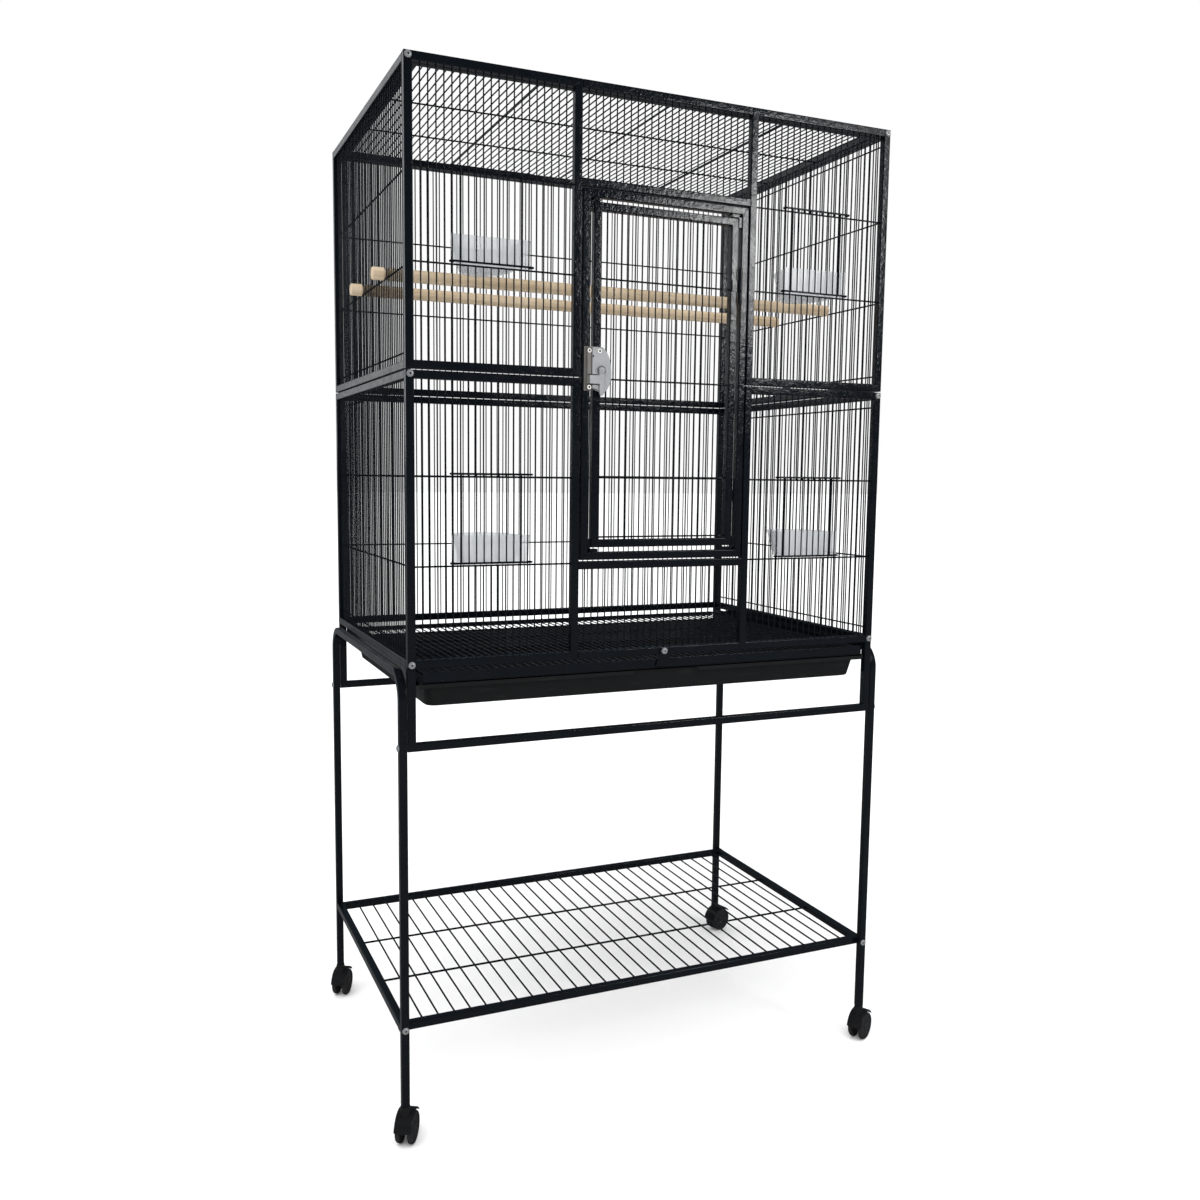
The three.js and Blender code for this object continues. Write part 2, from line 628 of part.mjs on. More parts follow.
const intoBack = [-Math.PI / 2, 0, 0];
for (const [side, sideName] of [[-1, "left"], [1, "right"]]) {
  const x = side * (cage.halfWidth - tube / 2);
  const heights = [...cornerScrewZ.upper, ...cornerScrewZ.lower];
  heights.forEach((z, i) => {
    placeScrew(`screw_${["top", "middle", "bottom"][i]}_${sideName}`, [x, front - gap, z], intoBack);
  });
  const boltAt = [side * (arch.outer + gap), -legY, crossbar.top - tube / 2];
  placeScrew(`leg_bolt_${sideName}`, boltAt, [0, -side * Math.PI / 2, 0]);
}
const tabScrewAt = [tab.x, front - 2 * gap - tab.thick, cage.bottom + tube / 2];
placeScrew("grille_tab_screw", tabScrewAt, intoBack, tab.screw + gap + tab.thick);

export default assembly;
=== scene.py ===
"""Flight cage on a wheeled stand: each CAD piece in detail, its materials, the light and the camera."""
import math
import random

import bmesh
import bpy
from mathutils import Matrix, Vector


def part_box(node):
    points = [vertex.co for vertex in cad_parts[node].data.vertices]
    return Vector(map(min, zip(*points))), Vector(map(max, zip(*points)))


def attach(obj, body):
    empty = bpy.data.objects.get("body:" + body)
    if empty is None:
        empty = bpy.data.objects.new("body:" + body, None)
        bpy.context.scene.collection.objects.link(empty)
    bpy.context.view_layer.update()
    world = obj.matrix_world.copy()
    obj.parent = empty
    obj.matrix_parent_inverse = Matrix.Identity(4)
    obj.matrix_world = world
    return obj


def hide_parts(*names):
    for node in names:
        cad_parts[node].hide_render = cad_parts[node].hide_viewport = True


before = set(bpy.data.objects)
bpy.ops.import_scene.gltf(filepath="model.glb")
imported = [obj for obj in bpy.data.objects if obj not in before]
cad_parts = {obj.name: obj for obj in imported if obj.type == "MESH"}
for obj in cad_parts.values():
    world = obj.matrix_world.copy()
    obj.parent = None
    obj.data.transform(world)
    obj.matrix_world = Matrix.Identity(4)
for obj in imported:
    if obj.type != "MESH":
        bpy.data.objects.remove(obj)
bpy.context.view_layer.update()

# ---- dimensions in millimetres, the same as in the CAD ----
MM = 0.001
TUBE, GAP = 12.0, 0.3
HALF_W, HALF_D, BOTTOM, SEAM, TOP = 406.5, 266.5, 724.5, 1149.5, 1575.0
FRONT, BACK = -HALF_D, HALF_D
STILE = HALF_W - TUBE
BAR_Y = FRONT + TUBE / 2
PITCH = 11.43
WIRE_R, CROSS_R = 1.1, 1.35
MULLION, HEADER, SILL = 142.5, 1425.2, 874.4
SURROUND = (140.5, 876.5, 1423.5)
DOOR = (122.5, 895.5, 1405.5)
SEAM_GROOVE = 0.8
LEVELS = {"upper": (SEAM + SEAM_GROOVE, TOP), "lower": (BOTTOM, SEAM - SEAM_GROOVE)}
FEEDER_BOTTOM = {"upper": 1298.1, "lower": 871.2}
FEEDER_HEIGHT = 129.2
PERCH_WIRE = 1295.6
CUP_SHIFT = {"left": 3.0, "right": 10.0}
CUP_HEIGHT, CUP_BACK, CUP_WALL = 43, 14.5, 1.6
HINGE_Z = {"upper": 1302, "lower": 975}
LATCH_X, LATCH_Z = -112, 1160
FEEDER_FORWARD = 3.4
SIDES = {"left": -1, "right": 1}
ARCH_OUT, ARCH_HALF_D, ARCH_TOP, ARCH_BEND, LEG_FOOT = 419.5, 265.5, 722.0, 45.0, 63.0
LEG_Y = ARCH_HALF_D - TUBE / 2
LEG_X = ARCH_OUT - TUBE / 2
CROSS_TOP, SHELF_TOP = 615.0, 188.0
CASTER_TURN = {"front_left": 150, "front_right": 120, "back_left": 150, "back_right": 105}
CASTER_R, CASTER_W, CASTER_TRAIL, TREAD = 23.5, 27.0, 9.0, 8.5
random.seed(7)


# ---- materials ----
class Nodes:
    """Builds a material's node tree in a few words."""

    def __init__(self, name):
        self.material = bpy.data.materials.new(name)
        self.material.use_nodes = True
        self.tree = self.material.node_tree
        self.shader = self.tree.nodes["Principled BSDF"]
        self.place = self.add("ShaderNodeTexCoord").outputs["Object"]

    def add(self, kind, **inputs):
        node = self.tree.nodes.new(kind)
        for key, value in inputs.items():
            self.put(node.inputs[key.replace("_", " ")], value)
        return node

    def put(self, socket, value):
        if isinstance(value, bpy.types.NodeSocket):
            self.tree.links.new(value, socket)
        else:
            socket.default_value = value

    def set(self, **inputs):
        for key, value in inputs.items():
            self.put(self.shader.inputs[key.replace("_", " ")], value)

    def stretched(self, x, y, z):
        node = self.add("ShaderNodeMapping", Vector=self.place)
        node.inputs["Scale"].default_value = (x, y, z)
        return node.outputs["Vector"]

    def noise(self, scale, detail=3.0, vector=None, rough=0.5):
        node = self.add("ShaderNodeTexNoise", Vector=vector or self.place, Scale=scale, Detail=detail)
        node.inputs["Roughness"].default_value = rough
        return node.outputs["Fac"]

    def ramp(self, factor, stops):
        node = self.add("ShaderNodeValToRGB", Fac=factor)
        elements = node.color_ramp.elements
        while len(elements) < len(stops):
            elements.new(0.5)
        for element, (at, value) in zip(elements, stops):
            element.position = at
            rgb = value if isinstance(value, tuple) else (value,) * 3
            element.color = (*rgb, 1.0)
        return node.outputs["Color"]

    def mix(self, factor, a, b, blend="MIX"):
        node = self.tree.nodes.new("ShaderNodeMix")
        node.data_type = "RGBA"
        node.blend_type = blend
        self.put(node.inputs[0], factor)
        for index, value in ((6, a), (7, b)):
            self.put(node.inputs[index], (*value, 1.0) if isinstance(value, tuple) else value)
        return node.outputs[2]

    def bump(self, height, strength, distance):
        """Each further bump lies on top of the ones before."""
        node = self.add("ShaderNodeBump", Height=height, Strength=strength, Distance=distance)
        normal = self.shader.inputs["Normal"]
        if normal.links:
            self.put(node.inputs["Normal"], normal.links[0].from_socket)
        self.put(normal, node.outputs["Normal"])


def powder_coat(name, dark, light, rough):
    """Satin black powder coat: a coarse orange peel, cloudy colour, dusty and rubbed patches, small chips."""
    n = Nodes(name)
    colour = n.mix(n.noise(9.0, 4.0), dark, light)
    rubbed = n.ramp(n.noise(70.0, 6.0, rough=0.7), [(0.60, 0.0), (0.72, 0.22)])
    colour = n.mix(rubbed, colour, tuple(c * 3.2 for c in light))
    chips = n.ramp(n.noise(420.0, 2.0), [(0.735, 0.0), (0.76, 0.35)])
    colour = n.mix(chips, colour, (0.09, 0.092, 0.098))
    n.set(Base_Color=colour, Metallic=0.0, Specular_IOR_Level=0.35)
    n.put(n.shader.inputs["Roughness"],
          n.ramp(n.noise(30.0, 5.0), [(0.3, rough - 0.06), (0.7, rough + 0.08)]))
    n.bump(n.noise(160.0, 3.0), 0.8, 0.0006)
    n.bump(n.noise(520.0, 3.0), 0.5, 0.0003)
    return n.material


def zinc_plate(name, dark, light, metallic, rough):
    """Zinc on pressed steel: a cool grey with a drawn grain and dull patches."""
    n = Nodes(name)
    grain = n.noise(1.0, 4.0, n.stretched(900.0, 900.0, 90.0))
    colour = n.mix(n.noise(60.0, 4.0), dark, light)
    colour = n.mix(n.ramp(n.noise(260.0, 3.0), [(0.62, 0.0), (0.72, 0.5)]), colour,
                   tuple(c * 0.8 for c in dark))
    n.set(Base_Color=colour, Metallic=metallic)
    n.put(n.shader.inputs["Roughness"], n.ramp(grain, [(0.3, rough - 0.08), (0.7, rough + 0.08)]))
    n.bump(grain, 0.15, 0.0002)
    return n.material


def rivet_rim():
    """Rolled rims of the hollow rivets: a pale nickel, slightly tarnished."""
    n = Nodes("rivet_rim")
    n.set(Base_Color=n.mix(n.noise(300.0), (0.80, 0.77, 0.70), (0.90, 0.89, 0.86)), Metallic=0.2)
    n.put(n.shader.inputs["Roughness"], n.ramp(n.noise(200.0), [(0.3, 0.3), (0.7, 0.42)]))
    n.bump(n.noise(900.0), 0.1, 0.0001)
    return n.material


def dowel_wood():
    """Plain pine dowel: long straight grain, darker late wood and a few pores."""
    n = Nodes("dowel_wood")
    along = n.stretched(4.0, 130.0, 130.0)
    grain = n.noise(1.0, 5.0, along, 0.6)
    colour = n.ramp(grain, [(0.28, (0.42, 0.31, 0.195)), (0.5, (0.55, 0.43, 0.29)),
                            (0.72, (0.65, 0.53, 0.385))])
    streak = n.ramp(n.noise(1.0, 3.0, n.stretched(9.0, 420.0, 420.0)), [(0.60, 0.0), (0.72, 0.4)])
    colour = n.mix(streak, colour, (0.34, 0.23, 0.13))
    colour = n.mix(n.ramp(n.noise(14.0), [(0.45, 0.0), (0.8, 0.35)]), colour, (0.68, 0.59, 0.45))
    n.set(Base_Color=colour)
    n.put(n.shader.inputs["Roughness"], n.ramp(grain, [(0.3, 0.72), (0.7, 0.55)]))
    n.bump(grain, 0.3, 0.0004)
    return n.material


def clear_plastic():
    """Clear moulded cup: thin slightly grey walls, hazed by fine scratches and moulding flow."""
    n = Nodes("clear_plastic")
    haze = n.noise(1.0, 3.0, n.stretched(90.0, 90.0, 10.0))
    n.set(Base_Color=n.mix(haze, (0.50, 0.52, 0.54), (0.64, 0.66, 0.68)),
          Alpha=n.ramp(haze, [(0.3, 0.38), (0.75, 0.50)]))
    n.put(n.shader.inputs["Roughness"], n.ramp(haze, [(0.35, 0.14), (0.75, 0.24)]))
    n.bump(n.noise(30.0, 2.0), 0.06, 0.0004)
    return n.material


def black_plastic(name, base, rough, grain):
    """Moulded black plastic: fine spark-eroded texture, greyer scuffs."""
    n = Nodes(name)
    scuff = n.ramp(n.noise(1.0, 5.0, n.stretched(25.0, 60.0, 160.0)), [(0.60, 0.0), (0.75, 0.3)])
    colour = n.mix(n.noise(12.0), tuple(c * 0.8 for c in base), tuple(c * 1.35 for c in base))
    n.set(Base_Color=n.mix(scuff, colour, (0.03, 0.03, 0.031)), Specular_IOR_Level=0.3)
    n.put(n.shader.inputs["Roughness"],
          n.ramp(n.noise(40.0, 4.0), [(0.3, rough - 0.06), (0.7, rough + 0.12)]))
    n.bump(n.noise(grain, 2.0), 0.3, 0.0002)
    return n.material


MATERIALS = {
    # Black paint; the blue cast in both near-black tones is painted reflection of a bluish sky.
    "frame": powder_coat("black_powder_coat", (0.0014, 0.0022, 0.0034), (0.0030, 0.0043, 0.0066), 0.15),
    "zinc": zinc_plate("zinc", (0.46, 0.465, 0.47), (0.64, 0.65, 0.66), 0.8, 0.46),
    "latch": zinc_plate("dull_zinc", (0.32, 0.33, 0.337), (0.45, 0.46, 0.468), 0.5, 0.56),
    # The keeper gets a darker, warmer zinc than the plate.
    "keeper": zinc_plate("darker_keeper_zinc", (0.135, 0.127, 0.118), (0.215, 0.205, 0.19), 0.4, 0.55),
    "wood": dowel_wood(),
    "cup": clear_plastic(),
    "tray": black_plastic("tray_plastic", (0.0055, 0.0058, 0.0064), 0.42, 900.0),
    "housing": black_plastic("caster_hood_plastic", (0.0060, 0.0060, 0.0066), 0.36, 1100.0),
    "wheel": black_plastic("caster_wheel_plastic", (0.014, 0.014, 0.015), 0.5, 1500.0),
}
MATERIALS["rivet"] = rivet_rim()
# Painted shade: a near-black laid on the floors of rivet holes and screw sockets and in thin gaps, where
# shade would fall.
MATERIALS["rivet_hole"] = black_plastic("shadowed_recess", (0.004, 0.004, 0.004), 0.6, 900.0)


# ---- mesh code ----
class Shape:
    """One piece's mesh, built up in millimetres."""

    def __init__(self):
        self.points, self.faces, self.looks = [], [], []
        self.look = 0

    def face(self, *corners):
        self.faces.append(corners)
        self.looks.append(self.look)

    def rings(self, rings, closed=False, caps=True):
        """Skins a run of rings that have the same number of points."""
        first, n = len(self.points), len(rings[0])
        for ring in rings:
            self.points.extend(ring)
        count = len(rings)
        for i in range(count if closed else count - 1):
            a, b = first + i * n, first + (i + 1) % count * n
            for k in range(n):
                m = (k + 1) % n
                self.face(a + k, a + m, b + m, b + k)
        if caps and not closed:
            self.face(*range(first + n - 1, first - 1, -1))
            last = first + (count - 1) * n
            self.face(*range(last, last + n))

    def sweep(self, path, side, profile, closed=False, seam=0.0):
        """Sweeps a profile of (across, outward) points along a flat path; side is its plane's normal."""
        path = [Vector(p) for p in path]
        side = Vector(side).normalized()
        rings = []
        count = len(path)
        for i, p in enumerate(path):
            before = (p - path[i - 1]).normalized() if closed or i else None
            after = (path[(i + 1) % count] - p).normalized() if closed or i < count - 1 else None
            along = ((before or after) + (after or before)).normalized()
            out = along.cross(side)
            stretch = 1.0 / max(0.3, along.dot(after or before))
            ring = [p + side * a + out * (b * stretch) for a, b in profile]
            if seam and closed:
                shrink = [p + (q - p) * 0.955 for q in ring]
                rings += [[q - before * seam for q in ring], shrink, [q + after * seam for q in ring]]
            else:
                rings.append(ring)
        self.rings(rings, closed)

    def bar(self, start, end, side, size=TUBE, corner=1.4, size2=None):
        """A straight tube of square section with rounded corners."""
        self.sweep([start, end], side, square(size, size2 or size, corner))

    def box(self, low, high, corner=0.4):
        """A block with rounded edges along its longest side and eased ends."""
        low, high = Vector(low), Vector(high)
        size = high - low
        axis = max(range(3), key=lambda i: size[i])
        side = Vector([1.0 if i == (axis + 1) % 3 else 0.0 for i in range(3)])
        middle = (low + high) / 2
        start, end = middle.copy(), middle.copy()
        start[axis], end[axis] = low[axis], high[axis]
        along = (end - start).normalized()
        across = [size[(axis + 1) % 3], size[(axis + 2) % 3]]
        full = square(across[0], across[1], corner)
        ends = square(across[0] - corner, across[1] - corner, corner * 0.5)
        out = along.cross(side)
        ring = lambda p, outline: [p + side * a + out * b for a, b in outline]
        eased = along * corner * 0.5
        self.rings([ring(start, ends), ring(start + eased, full), ring(end - eased, full), ring(end, ends)])

    def wire(self, start, end, radius, sides=8):
        start, end = Vector(start), Vector(end)
        along = (end - start).normalized()
        side = along.orthogonal().normalized()
        self.sweep([start, end], side, circle(radius, sides))

    def lathe(self, profile, origin, axis, sides=24):
        """Turns (radius, along) points round an axis; the profile is closed when its ends meet the axis."""
        origin, axis = Vector(origin), Vector(axis).normalized()
        a = axis.orthogonal().normalized()
        b = axis.cross(a)
        rings = []
        for r, h in profile:
            turn = [2 * math.pi * k / sides for k in range(sides)]
            rings.append([origin + axis * h + (a * math.cos(t) + b * math.sin(t)) * max(r, 0.001)
                          for t in turn])
        self.rings(rings)

    def plate(self, outline, origin, right, up, thick, ease=0.35):
        """A flat plate with eased edges: outline in (right, up), thickness along right x up."""
        right, up = Vector(right), Vector(up)
        out = right.cross(up)
        n = len(outline)
        inner = []
        for i in range(n):
            p, before, after = Vector(outline[i]), Vector(outline[i - 1]), Vector(outline[(i + 1) % n])
            d1, d2 = (p - before).normalized(), (after - p).normalized()
            normal = Vector((-(d1 + d2).y, (d1 + d2).x)).normalized()
            inner.append(p + normal * ease)
        place = lambda points, h: [Vector(origin) + right * p[0] + up * p[1] + out * h for p in points]
        self.rings([place(inner, 0.0), place(outline, ease),
                    place(outline, thick - ease), place(inner, thick)])

    def turned(self, matrix):
        self.points = [matrix @ Vector(p) for p in self.points]

    def make(self, name, body, slot, replaces=(), looks=("",), sharp=50.0):
        mesh = bpy.data.meshes.new(name)
        mesh.from_pydata([tuple(Vector(p) * MM) for p in self.points], [], self.faces)
        bm = bmesh.new()
        bm.from_mesh(mesh)
        bmesh.ops.recalc_face_normals(bm, faces=bm.faces)
        bm.to_mesh(mesh)
        bm.free()
        for look in looks:
            mesh.materials.append(MATERIALS[look or slot])
        for polygon, look in zip(mesh.polygons, self.looks):
            polygon.use_smooth = True
            polygon.material_index = look
        mesh.set_sharp_from_angle(angle=math.radians(sharp))
        piece = bpy.data.objects.new(name, mesh)
        bpy.context.scene.collection.objects.link(piece)
        piece.modifiers.new("flat_faces", "WEIGHTED_NORMAL").keep_sharp = True
        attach(piece, body)
        if replaces:
            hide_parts(*replaces)
        return piece


def square(width, height, corner, steps=3):
    points = []
    for quarter, (sx, sy) in enumerate(((1, 1), (-1, 1), (-1, -1), (1, -1))):
        for i in range(steps + 1):
            angle = (quarter + i / steps) * math.pi / 2
            x = sx * (width / 2 - corner) + corner * math.cos(angle)
            y = sy * (height / 2 - corner) + corner * math.sin(angle)
            points.append((x, y))
    return points


def circle(radius, sides):
    return [(radius * math.cos(2 * math.pi * i / sides), radius * math.sin(2 * math.pi * i / sides))
            for i in range(sides)]


def spaced(low, high, pitch):
    gaps = round((high - low) / pitch)
    return [low + (high - low) * (i + 1) / gaps for i in range(gaps - 1)]


def arc(centre, radius, start, end, steps, plane):
    """Points round an arc in degrees; plane turns (a, b) into a 3-D point."""
    angles = [math.radians(start + (end - start) * i / steps) for i in range(steps + 1)]
    return [plane(centre[0] + radius * math.cos(t), centre[1] + radius * math.sin(t)) for t in angles]


CAGE = "cage_and_stand"


# ---- cage panels ----
WOBBLE = random.Random(11)


def lean():
    """How far the end of a side or back wire is out of line, in millimetres."""
    return WOBBLE.uniform(-0.5, 0.5)


def cross_wires(shape, axis, low, high, at, levels, radius=CROSS_R):
    """Thick horizontal wires welded across a panel's vertical wires."""
    for z in levels:
        if axis == "x":
            shape.wire((low, at, z), (high, at, z), radius)
        else:
            shape.wire((at, low, z), (at, high, z), radius)


def bay_bars(side):
    inner, outer = side * (MULLION + TUBE), side * STILE
    return spaced(min(inner, outer), max(inner, outer), PITCH)


def mitred_frame(shape, left, right, low, high, y=BAR_Y):
    inset = TUBE / 2
    x0, x1, z0, z1 = left + inset, right - inset, low + inset, high - inset
    path = [(x0, y, z0), (x1, y, z0), (x1, y, z1), (x0, y, z1)]
    shape.sweep(path, (0, 1, 0), square(TUBE, TUBE, 1.4), closed=True, seam=0.35)


def front_bay(side_name, level):
    side = SIDES[side_name]
    low, high = LEVELS[level]
    x0, x1 = sorted((side * (MULLION + TUBE), side * STILE))
    shape = Shape()
    mitred_frame(shape, x0 - TUBE, x1 + TUBE, low, high)
    bars = bay_bars(side)
    bottom = FEEDER_BOTTOM[level]
    top = bottom + FEEDER_HEIGHT
    for i, x in enumerate(bars, 1):
        if 6 < i < 14:
            shape.wire((x, BAR_Y, low + 11), (x, BAR_Y, bottom), WIRE_R)
            shape.wire((x, BAR_Y, top), (x, BAR_Y, high - 11), WIRE_R)
        else:
            shape.wire((x, BAR_Y, low + 11), (x, BAR_Y, high - 11), WIRE_R)
    cross_wires(shape, "x", x0 - 1, x1 + 1, BAR_Y + WIRE_R + CROSS_R - 0.3, (bottom, top))
    shape.make(f"front_{level}_{side_name}_bay_look", CAGE, "frame", [f"front_{level}_{side_name}_bay"])


def door_strip(level):
    half = MULLION - GAP
    shape = Shape()
    rails = (HEADER + TUBE / 2, TOP - TUBE / 2) if level == "upper" else (BOTTOM + TUBE / 2, SILL - TUBE / 2)
    for z in rails:
        shape.bar((-half, BAR_Y, z), (half, BAR_Y, z), (0, 0, 1))
    for x in spaced(-half, half, PITCH):
        shape.wire((x, BAR_Y, rails[0] + 5), (x, BAR_Y, rails[1] - 5), WIRE_R)
    name = "front_header" if level == "upper" else "front_sill"
    shape.make(name + "_look", CAGE, "frame", [name])


def back_panel(level):
    low, high = LEVELS[level]
    y = BACK - TUBE / 2
    shape = Shape()
    mitred_frame(shape, -HALF_W, HALF_W, low, high, y)
    for x in spaced(-STILE, STILE, PITCH):
        shape.wire((x + lean(), y, low + 11), (x + lean(), y, high - 11), WIRE_R)
    levels = (FEEDER_BOTTOM[level], FEEDER_BOTTOM[level] + FEEDER_HEIGHT)
    cross_wires(shape, "x", -STILE - 1, STILE + 1, y - WIRE_R - CROSS_R + 0.3, levels)
    shape.make(f"back_{level}_panel_look", CAGE, "frame", [f"back_{level}_panel"])


def side_panel(side_name, level):
    side = SIDES[side_name]
    low, high = LEVELS[level]
    x = side * (HALF_W - TUBE / 2)
    y0, y1 = FRONT + TUBE + GAP, BACK - TUBE - GAP
    shape = Shape()
    for z in (low + TUBE / 2, high - TUBE / 2):
        shape.bar((x, y0, z), (x, y1, z), (1, 0, 0))
    for y in spaced(y0, y1, PITCH):
        shape.wire((x, y + lean(), low + 11), (x, y + lean(), high - 11), WIRE_R)
    lowest = PERCH_WIRE if level == "upper" else FEEDER_BOTTOM[level]
    levels = (lowest, FEEDER_BOTTOM[level] + FEEDER_HEIGHT, low + 25, high - 25)
    cross_wires(shape, "y", y0 + 1, y1 - 1, x - side * (WIRE_R + CROSS_R - 0.3), levels)
    shape.make(f"{side_name}_{level}_panel_look", CAGE, "frame", [f"{side_name}_{level}_panel"])


def top_panel():
    hx, hy = STILE - GAP, HALF_D - TUBE - GAP
    z = TOP - TUBE / 2
    shape = Shape()
    for y in (-hy + TUBE / 2, hy - TUBE / 2):
        shape.bar((-hx, y, z), (hx, y, z), (0, 0, 1))
    for x in (-hx + TUBE / 2, hx - TUBE / 2):
        shape.bar((x, -hy + 11, z), (x, hy - 11, z), (1, 0, 0))
    for x in spaced(-hx + TUBE, hx - TUBE, PITCH):
        shape.wire((x, -hy + 11, z), (x, hy - 11, z), WIRE_R)
    for y in (-81, 78):
        shape.wire((-hx + 11, y, z - 2), (hx - 11, y, z - 2), CROSS_R)
    for x in (-hx / 3 - 70, 10, hx / 3 + 80):
        shape.wire((x, -hy + 11, z - 4), (x, hy - 11, z - 4), CROSS_R)
    shape.make("top_panel_look", CAGE, "frame", ["top_panel"])


for level in LEVELS:
    for side_name in SIDES:
        front_bay(side_name, level)
        side_panel(side_name, level)
    door_strip(level)
    back_panel(level)
top_panel()


# ---- door, hinges and latch ----
def corner_stops(shape):
    """Stops that fill the corners of the gap between the surround and the door."""
    half, low, high = (SURROUND[0] - TUBE, SURROUND[1] + TUBE, SURROUND[2] - TUBE)
    near, far, thick = FRONT + 1.5, FRONT + TUBE - 0.5, 4.8
    for side in (-1, 1):
        for z, way in ((low, 1), (high, -1)):
            xs = sorted((side * (half + 0.2), side * (half - thick)))
            zs = sorted((z - 0.2 * way, z + 20 * way))
            shape.box((xs[0], near, zs[0]), (xs[1], far, zs[1]), 0.4)
            xs = sorted((side * (half + 0.2), side * (half - 17)))
            zs = sorted((z - 0.2 * way, z + thick * way))
            shape.box((xs[0], near, zs[0]), (xs[1], far, zs[1]), 0.4)


def make_door():
    shape = Shape()
    half, low, high = SURROUND
    mitred_frame(shape, -half, half, low, high)
    corner_stops(shape)
    shape.make("door_surround_look", CAGE, "frame", ["door_surround"])
    shape = Shape()
    half, low, high = DOOR
    mitred_frame(shape, -half, half, low, high)
    inside = half - TUBE
    for x in spaced(-inside, inside, 11.6):
        shape.wire((x, BAR_Y, low + 11), (x, BAR_Y, high - 11), WIRE_R)
    cross_wires(shape, "x", -inside - 1, inside + 1, BAR_Y + 2.0, (1296.6, 1149.0, 1002.6, 911.0))
    shape.make("door_look", "door", "frame", ["door"])


def hinge(name, z):
    x, y, length, barrel = 125.5, FRONT - 3.0, 54.0, 3.3
    low, high, knuckle = z - length / 2, z + length / 2, length / 3
    eased = lambda a, b: [(barrel - 0.5, a), (barrel, a + 0.5), (barrel, b - 0.5), (barrel - 0.5, b)]
    fixed = Shape()
    for a, b in ((low, low + knuckle - GAP), (high - knuckle + GAP, high)):
        fixed.lathe(eased(a, b), (x, y, 0), (0, 0, 1), 20)
        fixed.box((x + 1.5, FRONT - 1.5, a), (x + 10.8, FRONT - 0.3, b), 0.3)
    fixed.lathe([(1.5, low + 0.5), (1.5, high - 0.5)], (x, y, 0), (0, 0, 1), 12)
    fixed.make(f"{name}_hinge_frame_leaf_look", CAGE, "frame", [f"{name}_hinge_frame_leaf"])
    moving = Shape()
    a, b = low + knuckle, high - knuckle
    moving.lathe(eased(a, b), (x, y, 0), (0, 0, 1), 20)
    moving.box((x - 12.8, FRONT - 1.5, a), (x - 1.5, FRONT - 0.3, b), 0.3)
    moving.make(f"{name}_hinge_door_leaf_look", "door", "frame", [f"{name}_hinge_door_leaf"])


def curve(points, steps=8):
    """A smooth outline: straight between plain points, with a quadratic bend at a point marked with 0."""
    out = []
    i = 0
    while i < len(points):
        p = points[i]
        if len(p) == 3:
            a, b = Vector(out[-1]), Vector(points[(i + 1) % len(points)][:2])
            m = Vector(p[:2])
            for k in range(1, steps):
                t = k / steps
                out.append(tuple(a * (1 - t) ** 2 + m * (2 * t * (1 - t)) + b * t * t))
        else:
            out.append(tuple(p))
        i += 1
    return out


def ring_rivet(shape, x, z, face, radius=3.1):
    """A hollow rivet: a bright rolled rim round its hole; the hole's floor is painted near-black as painted
    shade.
    """
    profile = [(radius, 0), (radius, 0.5), (radius * 0.8, 0.9), (radius * 0.6, 0.8),
               (radius * 0.52, 0.3), (0, 0.25)]
    shape.look = 2
    shape.lathe(profile, (x, face, z), (0, -1, 0), 18)
    # The disc at the hole's floor is painted near-black: painted shade.
    shape.look = 1
    shape.lathe([(radius * 0.54, 0.3), (radius * 0.5, 0.5), (0, 0.5)], (x, face, z), (0, -1, 0), 14)
    shape.look = 0


